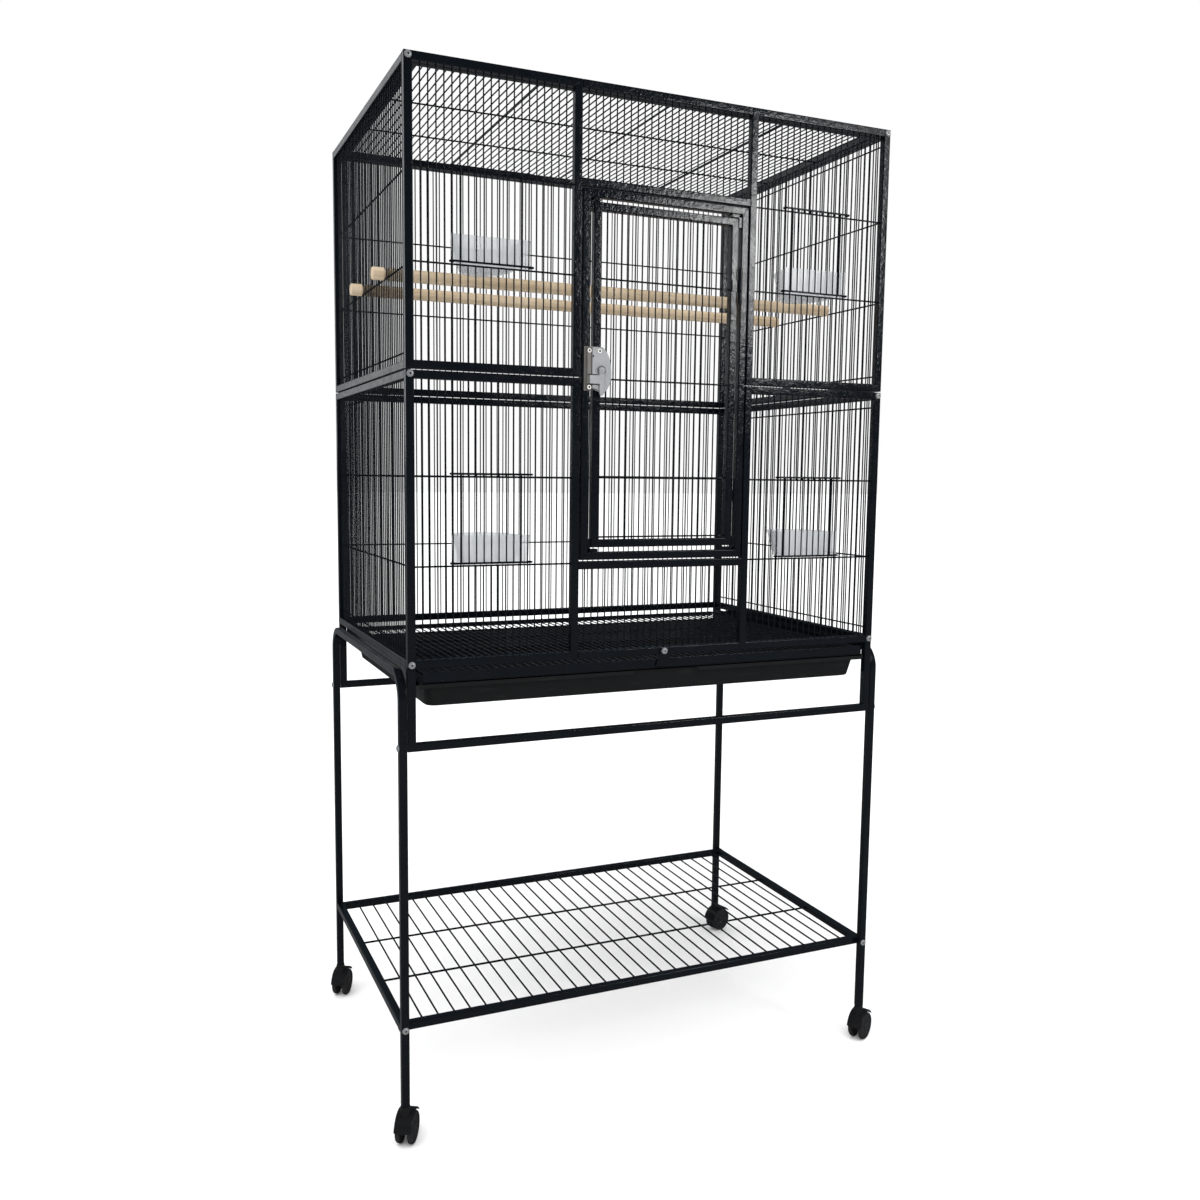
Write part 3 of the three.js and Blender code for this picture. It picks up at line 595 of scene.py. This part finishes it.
def make_latch():
    face = FRONT - GAP
    forward = ((1, 0, 0), (0, 0, 1))
    keeper = Shape()
    outline = [(-138, 1130), (-127.7, 1130), (-127.7, 1195), (-138, 1195)]
    keeper.plate(outline, (0, face, 0), *forward, 1.6)
    channel = [(-134.6, 1131), (-128.0, 1131), (-128.0, 1194), (-134.6, 1194)]
    keeper.plate(channel, (0, face - 1.5, 0), *forward, 4.4, 0.7)
    for z in (1135.0, 1188.6):
        ring_rivet(keeper, -131.3, z, face - 5.8)
    # Thin near-black strips above and below the strap: painted shade standing in for the gaps at its edges.
    painted_shade_lines = ((1153.0, 1154.3), (1138.7, 1140.0))
    keeper.look = 1
    for low, high in painted_shade_lines:
        keeper.box((-134.4, face - 6.1, low), (-128.2, face - 5.6, high), 0.1)
    keeper.make("latch_keeper_look", CAGE, "zinc", ["latch_keeper"], ("keeper", "rivet_hole", "rivet"), 30)
    plate = Shape()
    outline = curve([(-127, 1134), (-106, 1126), (-94, 1138, 0), (-94, 1156),
                     (-94, 1183, 0), (-108, 1195), (-127, 1195)])
    plate.plate(outline, (0, face, 0), *forward, 1.6)
    raised = curve([(-126.6, 1134.8), (-106.3, 1127.2), (-95, 1138.6, 0), (-95, 1156),
                    (-95, 1182, 0), (-108.6, 1194),
                    (-126.6, 1194)])
    plate.plate(raised, (0, face - 1.5, 0), *forward, 4.3, 0.8)
    ring = [(8.6, 0), (8.5, 0.5), (7.9, 0.8), (7.2, 0.6), (6.9, 0.1), (0, 0.1)]
    plate.lathe(ring, (LATCH_X, face - 5.7, LATCH_Z), (0, -1, 0), 32)
    for x, z in ((-114.5, 1188.6), (-112.0, 1131.6)):
        ring_rivet(plate, x, z, face - 5.7)
    plate.look = 1
    for low, high in painted_shade_lines:
        plate.box((-126.4, face - 6.0, low), (-115.8, face - 5.5, high), 0.1)
    # A small near-black patch near the top: painted shade of a notch.
    plate.box((-126.4, face - 6.0, 1179.5), (-123.8, face - 5.5, 1182), 0.1)
    plate.make("latch_plate_look", "door", "zinc", ["latch_plate"], ("latch", "rivet_hole", "rivet"), 30)
    lever = Shape()
    face = FRONT - 6.9
    arm = curve([(-115.4, 1139.8), (-115.4, 1127), (-115.2, 1122.8, 0), (-112, 1122.8), (-108.8, 1122.8, 0),
                 (-108.6, 1127), (-107.4, 1158), (-107.3, 1164.8, 0), (-112, 1165.0), (-116.6, 1164.8, 0),
                 (-116.6, 1160), (-115.8, 1152.8), (-131.6, 1152.8), (-131.6, 1140.2), (-116.2, 1140.0)])
    lever.plate(arm, (0, face, 0), *forward, 2.0, 0.5)
    lever.lathe([(4.6, 0), (4.6, 0.6), (3.6, 1.0), (1.2, 1.0), (0.9, 0.5), (0, 0.5)],
                (LATCH_X, face - 1.9, LATCH_Z), (0, -1, 0), 20)
    lever.lathe([(2, -2.5), (2, 0)], (LATCH_X, face, LATCH_Z), (0, -1, 0), 12)
    lever.make("latch_lever_look", "latch_lever", "zinc", ["latch_lever"], ("latch",), 30)


make_door()
for level, z in HINGE_Z.items():
    hinge(level, z)
make_latch()


# ---- feeder doors and cups ----
def feeder_door(side_name, level):
    """A guillotine of wires whose two bars end in loops round the panel's wires."""
    bars = bay_bars(SIDES[side_name])[4:15]
    forward = FEEDER_FORWARD
    y = BAR_Y - forward
    low = FEEDER_BOTTOM[level] + 4.2
    high = low + FEEDER_HEIGHT
    left, right = bars[0], bars[-1] + 3.0
    shape = Shape()
    for z in (low, high):
        plane = lambda a, b: (a, b, z)
        path = (arc((left, BAR_Y), forward, 40, 270, 10, plane)
                + arc((right, BAR_Y), forward, -90, 110, 9, plane))
        shape.sweep(path, (0, 0, 1), circle(1.55, 8))
    for x in bars[1:-1]:
        radius = 1.25 if x in (bars[1], bars[-2]) else WIRE_R
        shape.wire((x, y, low - 0.4), (x, y, high + 0.4), radius)
    name = f"feeder_door_{level}_{side_name}"
    shape.make(name + "_look", name, "frame", [name])


def cup_outline(plate, bowl, depth, inset=0.0):
    """A plate with a bowl behind it, or with an inset the inside of the bowl, point for point."""
    thick = CUP_WALL
    half = bowl - inset
    start = inset + 0.6 if inset else thick
    front = [(-half, inset), (half, inset)] if inset else [(-plate, 0.0), (plate, 0.0), (plate, thick)]
    points = front + ([(half, inset + 0.3)] if inset else [])
    for i in range(33):
        t = math.pi * i / 32
        rise = abs(math.sin(t)) ** 0.8
        points.append((half * math.cos(t), start + (depth - start - inset) * rise))
    points.append((-half, inset + 0.3) if inset else (-plate, thick))
    return points


def cup(side_name, level):
    """Clear moulded cup: a front plate wider than the opening, and a bowl that narrows to its foot."""
    bars = bay_bars(SIDES[side_name])
    middle = (bars[5] + bars[13]) / 2 + CUP_SHIFT[side_name]
    low = FEEDER_BOTTOM[level] + 1
    high = low + CUP_HEIGHT
    y = FRONT + CUP_BACK

    def ring(plate, bowl, depth, inset, z):
        return [(middle + px, y + py, z) for px, py in cup_outline(plate, bowl, depth, inset)]

    shape = Shape()
    shape.rings([
        ring(57.4, 38.0, 81.5, 0.0, low), ring(58.0, 40.0, 84.0, 0.0, low + 1.6),
        ring(59.7, 51.0, 91.4, 0.0, high - 3.4),
        ring(60.0, 52.0, 92.0, 0.0, high - 3.0), ring(60.0, 52.0, 92.0, 0.0, high),
        ring(60.0, 51.6, 91.4, 1.6, high),
        ring(59.7, 51.0, 90.6, 1.8, high - 3.6), ring(58.0, 40.0, 83.6, 1.8, low + 3.4),
        ring(57.4, 38.0, 80.0, 3.4, low + 1.7),
    ])
    name = f"cup_{level}_{side_name}"
    shape.make(name + "_look", name, "cup", [name], sharp=38)


for level in LEVELS:
    for side_name in SIDES:
        feeder_door(side_name, level)
        cup(side_name, level)


# ---- perches ----
def perch(name):
    """A dowel, grooved over the side panels' cross wires and split at the left to sit astride a wire."""
    low, high = (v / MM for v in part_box(name))
    y, z = (low.y + high.y) / 2, (low.z + high.z) / 2
    radius, neck, slot = 9.5, 5.0, 1.45
    split = -(STILE + 2)
    groove = -(STILE + 7.4)
    shoulder, end = STILE + 2.3, high.x
    shape = Shape()
    profile = [(radius - 0.9, split), (radius, split + 0.8), (radius, shoulder - 0.8),
               (radius - 0.9, shoulder),
               (neck, shoulder), (neck, end), (0, end)]
    shape.lathe(profile, (0, y, z), (1, 0, 0), 28)
    for way in (-1, 1):
        def half_moon(x, reach):
            rise = math.asin(slot / reach)
            angles = [rise + (math.pi - 2 * rise) * i / 14 for i in range(15)]
            return [(x, y + way * reach * math.sin(t), z + reach * math.cos(t)) for t in angles]

        shape.rings([half_moon(low.x, radius - 0.8), half_moon(low.x + 0.8, radius),
                     half_moon(groove - 0.8, radius),
                     half_moon(groove, radius - 0.8), half_moon(groove, neck), half_moon(split + 0.5, neck)])
    shape.make(name + "_look", CAGE, "wood", [name])


perch("front_perch")
perch("rear_perch")


# ---- grille, tray and their runners ----
def make_grille():
    y0, y1 = FRONT + 1, 246.0
    shape = Shape()
    shape.box((-385, y0, 704.3), (385, y0 + 2, 718.5), 0.5)
    rim = 382.0
    path = [(-rim, y0 + 1.5, 715.4), (-rim, y1, 715.4), (rim, y1, 715.4), (rim, y0 + 1.5, 715.4)]
    shape.sweep(path, (0, 0, 1), circle(2.0, 8))
    shape.box((-rim, y1 - 1.2, 709.5), (rim, y1 + 0.6, 718.3), 0.4)
    for x in spaced(-rim, rim, 12.7):
        shape.wire((x, y0 + 1, 716.8), (x, y1, 716.8), 1.1)
    for y in (-170, -60, 50, 160):
        shape.wire((-rim, y, 714.6), (rim, y, 714.6), 1.4)
    shape.make("grille_look", "grille", "frame", ["grille"])
    tab = Shape()
    cx, foot, top = 4.3, 706.3, 735.5
    outline = curve([(cx - 14.6, foot), (cx + 14.6, foot), (cx + 7.2, 731.0), (cx + 6.2, top, 0),
                     (cx + 2.5, top),
                     (cx - 2.5, top), (cx - 6.2, top, 0), (cx - 7.2, 731.0)], 4)
    tab.plate(outline, (0, FRONT - GAP, 0), (1, 0, 0), (0, 0, 1), 1.6, 0.3)
    tab.box((cx - 12, FRONT - 1, foot), (cx + 12, FRONT + 0.7, 716), 0.3)
    tab.make("grille_tab_look", "grille", "frame", ["grille_tab"], sharp=40)


def rounded(half, y0, y1, corner, steps=6):
    points = []
    for quarter, (x, y) in enumerate(((half, y1), (-half, y1), (-half, y0), (half, y0))):
        cx = x - math.copysign(corner, x)
        cy = y - corner if y == y1 else y + corner
        for i in range(steps + 1):
            t = (quarter + i / steps) * math.pi / 2
            points.append((cx + corner * math.cos(t), cy + corner * math.sin(t)))
    return points


def make_tray():
    shape = Shape()
    y0, y1, top = FRONT + 1, 242.0, 703.7

    def ring(half, front, back, corner, z):
        return [(x, y, z) for x, y in rounded(half, front, back, corner)]

    shape.rings([
        ring(373, -248, 220, 14, 665.5), ring(375, -250, 222, 14, 666.7), ring(381, -258, 230, 14, 700.4),
        ring(388.6, y0 + 0.4, y1 - 0.4, 3, 700.7), ring(389, y0, y1, 3, 701.2),
        ring(389, y0, y1, 3, top - 0.4),
        ring(388.6, y0 + 0.4, y1 - 0.4, 3, top), ring(379.4, -255.6, 227.4, 13, top),
        ring(378.6, -255, 226.8, 13, top - 0.6),
        ring(373, -247.4, 219.4, 12, 669.9), ring(370, -244, 216, 11, 667.7),
    ])
    skirt = [(-389, 694.8), (-49, 694.8), (-46, 700.6, 0), (-40, 700.8), (60, 700.8),
             (66, 700.6, 0), (69, 694.8),
             (389, 694.8), (389, top - 0.2), (-389, top - 0.2)]
    shape.plate(curve(skirt, 5), (0, y0 + 2.2, 0), (1, 0, 0), (0, 0, 1), 2.2, 0.4)
    shape.make("tray_look", "tray", "tray", ["tray"], sharp=40)


def runner(side_name):
    side = SIDES[side_name]
    y0, y1 = FRONT + TUBE + GAP, BACK - TUBE - GAP
    shape = Shape()
    shape.box((min(side * 383, side * 394.2), y0, 698.3), (max(side * 383, side * 394.2), y1, 699.8), 0.4)
    shape.box((min(side * 392.7, side * 394.2), y0, 699.0), (max(side * 392.7, side * 394.2), y1, 722), 0.4)
    shape.make(f"{side_name}_runner_look", CAGE, "frame", [f"{side_name}_runner"])


make_grille()
make_tray()
runner("left")
runner("right")


# ---- stand ----
def arch(side_name):
    x = SIDES[side_name] * LEG_X
    y = LEG_Y
    top = ARCH_TOP - TUBE / 2
    bend = ARCH_BEND - TUBE / 2
    plane = lambda a, b: (x, a, b)
    path = [(x, -y, LEG_FOOT + 0.2)]
    path += arc((-y + bend, top - bend), bend, 180, 90, 12, plane)
    path += arc((y - bend, top - bend), bend, 90, 0, 12, plane)
    path.append((x, y, LEG_FOOT + 0.2))
    shape = Shape()
    shape.sweep(path, (1, 0, 0), square(TUBE, TUBE, 1.6))
    shape.make(f"{side_name}_arch_look", CAGE, "frame", [f"{side_name}_arch"])


def crossbar(end_name):
    y = FRONT + 1 + TUBE / 2 if end_name == "front" else BACK - 1 - TUBE / 2
    z = CROSS_TOP - TUBE / 2
    x = HALF_W - TUBE / 2
    shape = Shape()
    shape.bar((-HALF_W, y, z), (HALF_W, y, z), (0, 0, 1))
    for side in (-1, 1):
        shape.bar((side * x, y, CROSS_TOP - 1), (side * x, y, BOTTOM - GAP), (1, 0, 0))
    shape.make(f"{end_name}_crossbar_look", CAGE, "frame", [f"{end_name}_crossbar"])


def make_shelf():
    hx, hy = ARCH_OUT, ARCH_HALF_D - TUBE - GAP
    z = SHELF_TOP - TUBE / 2
    shape = Shape()
    for y in (-hy + TUBE / 2, hy - TUBE / 2):
        shape.bar((-hx, y, z), (hx, y, z), (0, 0, 1))
    for x in (-hx + TUBE / 2, hx - TUBE / 2):
        shape.bar((x, -hy + 11, z), (x, hy - 11, z), (1, 0, 0))
    for x in spaced(-hx + TUBE, hx - TUBE, 25.4):
        shape.wire((x, -hy + 11, SHELF_TOP - 3), (x, hy - 11, SHELF_TOP - 3), 1.5, 10)
    for y in (66, -91):
        shape.wire((-hx + 11, y, SHELF_TOP - 6), (hx - 11, y, SHELF_TOP - 6), 1.8, 10)
    shape.make("shelf_look", CAGE, "frame", ["shelf"])


arch("left")
arch("right")
crossbar("front")
crossbar("back")
make_shelf()


# ---- casters ----
def caster(end_name, side_name):
    corner = f"{end_name}_{side_name}"
    at = Vector((SIDES[side_name] * LEG_X, (-1 if end_name == "front" else 1) * LEG_Y, 0))
    matrix = Matrix.Translation(at) @ Matrix.Rotation(math.radians(CASTER_TURN[corner]), 4, "Z")
    axle = Vector((0, -CASTER_TRAIL, CASTER_R))
    hood = Shape()
    outer, inner = CASTER_R + 5, CASTER_R + 3
    outline = [(-8, -6), (8, -6)] + [(outer * math.cos(t), outer * math.sin(t)) for t in
                                     [math.pi * (0.04 + 0.76 * i / 16) for i in range(17)]]
    hood.plate(outline, (-4, axle.y, axle.z), (0, 1, 0), (0, 0, 1), 8, 0.8)
    angles = [math.pi * (0.05 + 0.74 * i / 16) for i in range(17)]
    half = CASTER_W / 2
    for way in (-1, 1):
        rings = []
        for t in angles:
            c, s = math.cos(t), math.sin(t)
            section = [(3.5, inner), (half - 0.6, inner), (half, inner + 0.4), (half, outer - 1.6),
                       (half - 1.6, outer),
                       (3.5, outer)]
            rings.append([(way * a, axle.y + r * c, axle.z + r * s) for a, r in section])
        hood.rings(rings)
    hood.lathe([(8.0, 44), (8.0, 58), (7.2, 62.6), (0, 62.6)], (0, 0, 0), (0, 0, 1), 20)
    hood.turned(matrix)
    hood.make(f"caster_{corner}_housing_look", f"caster_{corner}_housing", "housing",
              [f"caster_{corner}_housing"])
    wheels = Shape()
    inside = half - TREAD
    for way in (-1, 1):
        face = way * half
        profile = [(0, inside), (CASTER_R - 2.5, inside), (CASTER_R, inside + 1.4), (CASTER_R, half - 1.8),
                   (CASTER_R - 1.6, half - 0.3), (CASTER_R - 4.5, half), (CASTER_R - 5.2, half - 1.2),
                   (8.5, half - 1.8), (7.8, half - 0.3), (4.0, half - 0.1), (0, half - 0.1)]
        wheels.lathe(profile, axle, (way, 0, 0), 40)
    wheels.lathe([(2.9, -inside - 0.5), (2.9, inside + 0.5)], axle, (1, 0, 0), 14)
    wheels.turned(matrix)
    wheels.make(f"caster_{corner}_wheels_look", f"caster_{corner}_wheels", "wheel",
                [f"caster_{corner}_wheels"])


for end_name in ("front", "back"):
    for side_name in SIDES:
        caster(end_name, side_name)


# ---- screws: button heads with a hex socket ----
def button_screw(name, at, out, body=CAGE, replaces=(), length=4.0):
    """The head stands out from the surface at the point; out is the way it faces."""
    shape = Shape()
    at, out = Vector(at), Vector(out)
    sides = 24
    dome = [(5.2, 0.0), (5.25, 0.5), (4.9, 1.2), (4.1, 1.95), (3.1, 2.4), (2.25, 2.6)]
    a = out.orthogonal().normalized()
    b = out.cross(a)
    turn = random.uniform(0, math.pi / 3)

    def circle_at(r, h):
        angles = [2 * math.pi * k / sides for k in range(sides)]
        return [at + out * h + (a * math.cos(t) + b * math.sin(t)) * r for t in angles]

    def hexagon_at(r, h):
        points = []
        for k in range(sides):
            t = 2 * math.pi * k / sides
            wedge = (t % (math.pi / 3)) - math.pi / 6
            reach = r * math.cos(math.pi / 6) / math.cos(wedge)
            points.append(at + out * h + (a * math.cos(t + turn) + b * math.sin(t + turn)) * reach)
        return points

    shape.rings([circle_at(2.4, -length), circle_at(2.4, 0.0)] + [circle_at(r, h) for r, h in dome]
                + [hexagon_at(1.75, 2.5), hexagon_at(1.65, 1.0)])
    # The socket's floor is painted near-black: painted shade inside the socket.
    shape.look = 1
    shape.rings([hexagon_at(1.62, 1.02), hexagon_at(1.5, 1.08)])
    shape.make(name, body, "zinc", replaces, ("", "rivet_hole"), 32)


def all_screws():
    heights = {"top": TOP - TUBE / 2, "middle": SEAM - GAP / 2 - TUBE / 2, "bottom": BOTTOM + TUBE / 2}
    x = HALF_W - TUBE / 2
    z = CROSS_TOP - TUBE / 2
    for side_name, side in SIDES.items():
        for place, height in heights.items():
            name = f"screw_{place}_{side_name}"
            button_screw(name + "_look", (side * x, FRONT - GAP, height), (0, -1, 0), replaces=[name])
            button_screw(f"screw_{place}_{side_name}_back", (side * x, BACK - 0.0, height), (0, 1, 0))
        bolt = f"leg_bolt_{side_name}"
        button_screw(bolt + "_look", (side * (ARCH_OUT + GAP), -LEG_Y, z), (side, 0, 0), replaces=[bolt])
        button_screw(bolt + "_back", (side * ARCH_OUT, LEG_Y, z), (side, 0, 0))
        for end, end_name in ((-1, "front"), (1, "back")):
            button_screw(f"shelf_bolt_{end_name}_{side_name}",
                         (side * LEG_X, end * ARCH_HALF_D, SHELF_TOP - TUBE / 2),
                         (0, end, 0))
    button_screw("grille_tab_screw_look", (4.3, FRONT - 2.2, BOTTOM + TUBE / 2), (0, -1, 0), "grille",
                 ["grille_tab_screw"])


all_screws()


# ---- floor, light and camera ----
def not_mirrored(tree):
    """0 where a glossy surface reflects something, 1 everywhere else."""
    ray = tree.nodes.new("ShaderNodeLightPath")
    rest = tree.nodes.new("ShaderNodeMath")
    rest.operation = "SUBTRACT"
    rest.inputs[0].default_value = 1.0
    tree.links.new(ray.outputs["Is Glossy Ray"], rest.inputs[1])
    return rest.outputs[0]


def two_way(tree, plain, mirrored, output):
    choose = tree.nodes.new("ShaderNodeMixShader")
    tree.links.new(not_mirrored(tree), choose.inputs[0])
    tree.links.new(mirrored, choose.inputs[1])
    tree.links.new(plain, choose.inputs[2])
    tree.links.new(choose.outputs[0], tree.nodes[output].inputs["Surface"])


def stage():
    floor_material = Nodes("studio_floor")
    floor_material.set(Base_Color=floor_material.mix(
        floor_material.noise(0.7), (0.90, 0.90, 0.90), (0.93, 0.93, 0.93)))
    floor_material.shader.inputs["Roughness"].default_value = 0.9
    mirrored = floor_material.add("ShaderNodeBsdfDiffuse")
    mirrored.inputs["Color"].default_value = (0.11, 0.115, 0.12, 1.0)
    two_way(floor_material.tree, floor_material.shader.outputs[0], mirrored.outputs[0], "Material Output")
    mesh = bpy.data.meshes.new("studio_floor")
    size = 60.0
    mesh.from_pydata([(-size, -size, 0), (size, -size, 0), (size, size, 0), (-size, size, 0)],
                     [], [(0, 1, 2, 3)])
    mesh.materials.append(floor_material.material)
    floor = bpy.data.objects.new("studio_floor", mesh)
    bpy.context.scene.collection.objects.link(floor)
    world = bpy.data.worlds.new("studio")
    world.use_nodes = True
    tree = world.node_tree
    plain = tree.nodes["Background"]
    plain.inputs["Color"].default_value = (1.0, 1.0, 1.0, 1.0)
    mirrored = tree.nodes.new("ShaderNodeBackground")
    mirrored.inputs["Color"].default_value = (0.62, 0.82, 1.0, 1.0)
    mirrored.inputs["Strength"].default_value = 0.09
    two_way(tree, plain.outputs[0], mirrored.outputs[0], "World Output")
    bpy.context.scene.world = world


def soft_sun(direction, strength, spread):
    data = bpy.data.lights.new("sun", "SUN")
    data.energy = strength
    data.angle = math.radians(spread)
    light = bpy.data.objects.new("sun", data)
    light.rotation_euler = Vector(direction).to_track_quat("-Z", "Y").to_euler()
    light.visible_glossy = False
    bpy.context.scene.collection.objects.link(light)


def area_light(name, place, target, width, height, power):
    data = bpy.data.lights.new(name, "AREA")
    data.shape = "RECTANGLE"
    data.size, data.size_y = width, height
    data.energy = power
    light = bpy.data.objects.new(name, data)
    light.location = place
    aim = Vector(target) - Vector(place)
    light.rotation_euler = aim.to_track_quat("-Z", "Y").to_euler()
    light.visible_camera = False
    bpy.context.scene.collection.objects.link(light)


def photo_camera():
    yaw, pitch, roll = 0.412, 0.106, 0.011
    forward = Vector((math.sin(yaw) * math.cos(pitch), math.cos(yaw) * math.cos(pitch), -math.sin(pitch)))
    right = Vector((math.cos(yaw), -math.sin(yaw), 0.0))
    up = right.cross(forward)
    tilted_right = right * math.cos(roll) + up * math.sin(roll)
    tilted_up = up * math.cos(roll) - right * math.sin(roll)
    data = bpy.data.cameras.new("camera")
    data.sensor_width = 36.0
    data.lens = 32.906
    data.shift_x, data.shift_y = 0.0035, -0.0056
    camera = bpy.data.objects.new("camera", data)
    turn = Matrix((tilted_right, tilted_up, -forward)).transposed().to_4x4()
    camera.matrix_world = Matrix.Translation((-0.7818, -1.7940, 1.0028)) @ turn
    bpy.context.scene.collection.objects.link(camera)
    bpy.context.scene.camera = camera


stage()
soft_sun((0.35, 0.45, -1.0), 2.0, 45)
area_light("right_box", (1.42, -2.37, 1.85), (0.15, -0.27, 1.35), 0.4, 0.5, 14)
area_light("high_box", (1.85, -2.2, 2.3), (0.35, -0.27, 1.57), 0.4, 0.4, 1.5)
area_light("left_back_box", (-1.1, 2.2, 1.8), (-0.4, 0, 1.2), 0.8, 1.5, 3)
area_light("left_box", (-2.8, -1.2, 2.0), (0, 0, 1.0), 1.0, 1.6, 1)
photo_camera()
bpy.context.scene.view_settings.view_transform = "Standard"
